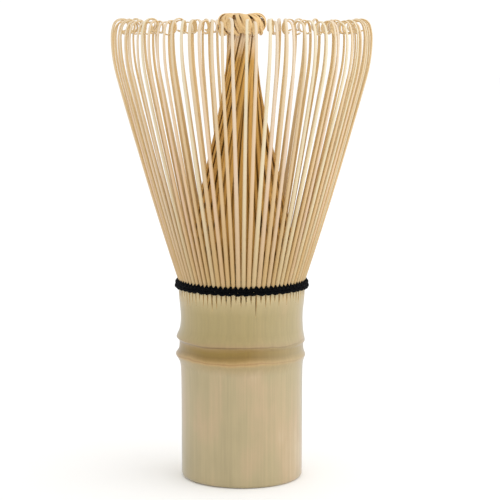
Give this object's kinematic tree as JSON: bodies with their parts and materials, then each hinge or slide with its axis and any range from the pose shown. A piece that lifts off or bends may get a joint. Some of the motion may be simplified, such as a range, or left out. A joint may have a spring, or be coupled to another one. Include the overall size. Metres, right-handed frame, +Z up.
{
  "type": "bamboo tea whisk",
  "caption": "Hand whisk carved from one bamboo culm: short handle with a node, a flared ring of curled outer tines, an inner bundle gathered at the top, and black thread at the split.",
  "frame": {"origin": "middle of the flat foot of the handle", "axes": "+Z up along the whisk from the foot to the tips; the front segment of tines faces -Y"},
  "size_m": [0.0618, 0.0618, 0.11],
  "materials": {
    "handle_bamboo": "smooth dried bamboo skin with a low natural sheen",
    "outer_tine_bamboo": "shaved bamboo, satin",
    "inner_tine_bamboo": "shaved bamboo, matt",
    "black_thread": "waxed black cotton thread"
  },
  "bodies": {
    "handle": {"culm_handle": "handle_bamboo", "thread_outer_turns": "black_thread", "thread_inner_turn": "black_thread"},
    "outer_segment_01": {"outer_tines_01": "outer_tine_bamboo"},
    "outer_segment_02": {"outer_tines_02": "outer_tine_bamboo"},
    "outer_segment_03": {"outer_tines_03": "outer_tine_bamboo"},
    "outer_segment_04": {"outer_tines_04": "outer_tine_bamboo"},
    "outer_segment_05": {"outer_tines_05": "outer_tine_bamboo"},
    "outer_segment_06": {"outer_tines_06": "outer_tine_bamboo"},
    "outer_segment_07": {"outer_tines_07": "outer_tine_bamboo"},
    "outer_segment_08": {"outer_tines_08": "outer_tine_bamboo"},
    "outer_segment_09": {"outer_tines_09": "outer_tine_bamboo"},
    "outer_segment_10": {"outer_tines_10": "outer_tine_bamboo"},
    "outer_segment_11": {"outer_tines_11": "outer_tine_bamboo"},
    "outer_segment_12": {"outer_tines_12": "outer_tine_bamboo"},
    "outer_segment_13": {"outer_tines_13": "outer_tine_bamboo"},
    "outer_segment_14": {"outer_tines_14": "outer_tine_bamboo"},
    "outer_segment_15": {"outer_tines_15": "outer_tine_bamboo"},
    "outer_segment_16": {"outer_tines_16": "outer_tine_bamboo"},
    "inner_wedge_1": {"inner_tines_01": "inner_tine_bamboo", "inner_tines_02": "inner_tine_bamboo"},
    "inner_wedge_2": {"inner_tines_03": "inner_tine_bamboo", "inner_tines_04": "inner_tine_bamboo"},
    "inner_wedge_3": {"inner_tines_05": "inner_tine_bamboo", "inner_tines_06": "inner_tine_bamboo"},
    "inner_wedge_4": {"inner_tines_07": "inner_tine_bamboo", "inner_tines_08": "inner_tine_bamboo"},
    "inner_wedge_5": {"inner_tines_09": "inner_tine_bamboo", "inner_tines_10": "inner_tine_bamboo"},
    "inner_wedge_6": {"inner_tines_11": "inner_tine_bamboo", "inner_tines_12": "inner_tine_bamboo"},
    "inner_wedge_7": {"inner_tines_13": "inner_tine_bamboo", "inner_tines_14": "inner_tine_bamboo"},
    "inner_wedge_8": {"inner_tines_15": "inner_tine_bamboo", "inner_tines_16": "inner_tine_bamboo"}
  },
  "joints": [
    {"name": "outer_flex_01", "type": "hinge", "parent": "handle", "child": "outer_segment_01", "pos_m": [0, -0.01425, 0.0468], "axis": [1, 0, 0], "range_deg": [-2.5, 8], "stiffness_Nm_per_rad": 0.028},
    {"name": "outer_flex_02", "type": "hinge", "parent": "handle", "child": "outer_segment_02", "pos_m": [0.00545, -0.01317, 0.0468], "axis": [0.9239, 0.3827, 0], "range_deg": [-2.5, 8], "stiffness_Nm_per_rad": 0.028},
    {"name": "outer_flex_03", "type": "hinge", "parent": "handle", "child": "outer_segment_03", "pos_m": [0.01008, -0.01008, 0.0468], "axis": [0.7071, 0.7071, 0], "range_deg": [-2.5, 8], "stiffness_Nm_per_rad": 0.028},
    {"name": "outer_flex_04", "type": "hinge", "parent": "handle", "child": "outer_segment_04", "pos_m": [0.01317, -0.00545, 0.0468], "axis": [0.3827, 0.9239, 0], "range_deg": [-2.5, 8], "stiffness_Nm_per_rad": 0.028},
    {"name": "outer_flex_05", "type": "hinge", "parent": "handle", "child": "outer_segment_05", "pos_m": [0.01425, 0, 0.0468], "axis": [0, 1, 0], "range_deg": [-2.5, 8], "stiffness_Nm_per_rad": 0.028},
    {"name": "outer_flex_06", "type": "hinge", "parent": "handle", "child": "outer_segment_06", "pos_m": [0.01317, 0.00545, 0.0468], "axis": [-0.3827, 0.9239, 0], "range_deg": [-2.5, 8], "stiffness_Nm_per_rad": 0.028},
    {"name": "outer_flex_07", "type": "hinge", "parent": "handle", "child": "outer_segment_07", "pos_m": [0.01008, 0.01008, 0.0468], "axis": [-0.7071, 0.7071, 0], "range_deg": [-2.5, 8], "stiffness_Nm_per_rad": 0.028},
    {"name": "outer_flex_08", "type": "hinge", "parent": "handle", "child": "outer_segment_08", "pos_m": [0.00545, 0.01317, 0.0468], "axis": [-0.9239, 0.3827, 0], "range_deg": [-2.5, 8], "stiffness_Nm_per_rad": 0.028},
    {"name": "outer_flex_09", "type": "hinge", "parent": "handle", "child": "outer_segment_09", "pos_m": [0, 0.01425, 0.0468], "axis": [-1, 0, 0], "range_deg": [-2.5, 8], "stiffness_Nm_per_rad": 0.028},
    {"name": "outer_flex_10", "type": "hinge", "parent": "handle", "child": "outer_segment_10", "pos_m": [-0.00545, 0.01317, 0.0468], "axis": [-0.9239, -0.3827, 0], "range_deg": [-2.5, 8], "stiffness_Nm_per_rad": 0.028},
    {"name": "outer_flex_11", "type": "hinge", "parent": "handle", "child": "outer_segment_11", "pos_m": [-0.01008, 0.01008, 0.0468], "axis": [-0.7071, -0.7071, 0], "range_deg": [-2.5, 8], "stiffness_Nm_per_rad": 0.028},
    {"name": "outer_flex_12", "type": "hinge", "parent": "handle", "child": "outer_segment_12", "pos_m": [-0.01317, 0.00545, 0.0468], "axis": [-0.3827, -0.9239, 0], "range_deg": [-2.5, 8], "stiffness_Nm_per_rad": 0.028},
    {"name": "outer_flex_13", "type": "hinge", "parent": "handle", "child": "outer_segment_13", "pos_m": [-0.01425, 0, 0.0468], "axis": [0, -1, 0], "range_deg": [-2.5, 8], "stiffness_Nm_per_rad": 0.028},
    {"name": "outer_flex_14", "type": "hinge", "parent": "handle", "child": "outer_segment_14", "pos_m": [-0.01317, -0.00545, 0.0468], "axis": [0.3827, -0.9239, 0], "range_deg": [-2.5, 8], "stiffness_Nm_per_rad": 0.028},
    {"name": "outer_flex_15", "type": "hinge", "parent": "handle", "child": "outer_segment_15", "pos_m": [-0.01008, -0.01008, 0.0468], "axis": [0.7071, -0.7071, 0], "range_deg": [-2.5, 8], "stiffness_Nm_per_rad": 0.028},
    {"name": "outer_flex_16", "type": "hinge", "parent": "handle", "child": "outer_segment_16", "pos_m": [-0.00545, -0.01317, 0.0468], "axis": [0.9239, -0.3827, 0], "range_deg": [-2.5, 8], "stiffness_Nm_per_rad": 0.028},
    {"name": "inner_flex_1", "type": "hinge", "parent": "handle", "child": "inner_wedge_1", "pos_m": [0.00234, -0.01177, 0.0468], "axis": [0.9808, 0.1951, 0], "range_deg": [0, 6], "stiffness_Nm_per_rad": 0.0085},
    {"name": "inner_flex_2", "type": "hinge", "parent": "handle", "child": "inner_wedge_2", "pos_m": [0.00998, -0.00667, 0.0468], "axis": [0.5556, 0.8315, 0], "range_deg": [0, 6], "stiffness_Nm_per_rad": 0.0085},
    {"name": "inner_flex_3", "type": "hinge", "parent": "handle", "child": "inner_wedge_3", "pos_m": [0.01177, 0.00234, 0.0468], "axis": [-0.1951, 0.9808, 0], "range_deg": [0, 6], "stiffness_Nm_per_rad": 0.0085},
    {"name": "inner_flex_4", "type": "hinge", "parent": "handle", "child": "inner_wedge_4", "pos_m": [0.00667, 0.00998, 0.0468], "axis": [-0.8315, 0.5556, 0], "range_deg": [0, 6], "stiffness_Nm_per_rad": 0.0085},
    {"name": "inner_flex_5", "type": "hinge", "parent": "handle", "child": "inner_wedge_5", "pos_m": [-0.00234, 0.01177, 0.0468], "axis": [-0.9808, -0.1951, 0], "range_deg": [0, 6], "stiffness_Nm_per_rad": 0.0085},
    {"name": "inner_flex_6", "type": "hinge", "parent": "handle", "child": "inner_wedge_6", "pos_m": [-0.00998, 0.00667, 0.0468], "axis": [-0.5556, -0.8315, 0], "range_deg": [0, 6], "stiffness_Nm_per_rad": 0.0085},
    {"name": "inner_flex_7", "type": "hinge", "parent": "handle", "child": "inner_wedge_7", "pos_m": [-0.01177, -0.00234, 0.0468], "axis": [0.1951, -0.9808, 0], "range_deg": [0, 6], "stiffness_Nm_per_rad": 0.0085},
    {"name": "inner_flex_8", "type": "hinge", "parent": "handle", "child": "inner_wedge_8", "pos_m": [-0.00667, -0.00998, 0.0468], "axis": [0.8315, -0.5556, 0], "range_deg": [0, 6], "stiffness_Nm_per_rad": 0.0085}
  ]
}
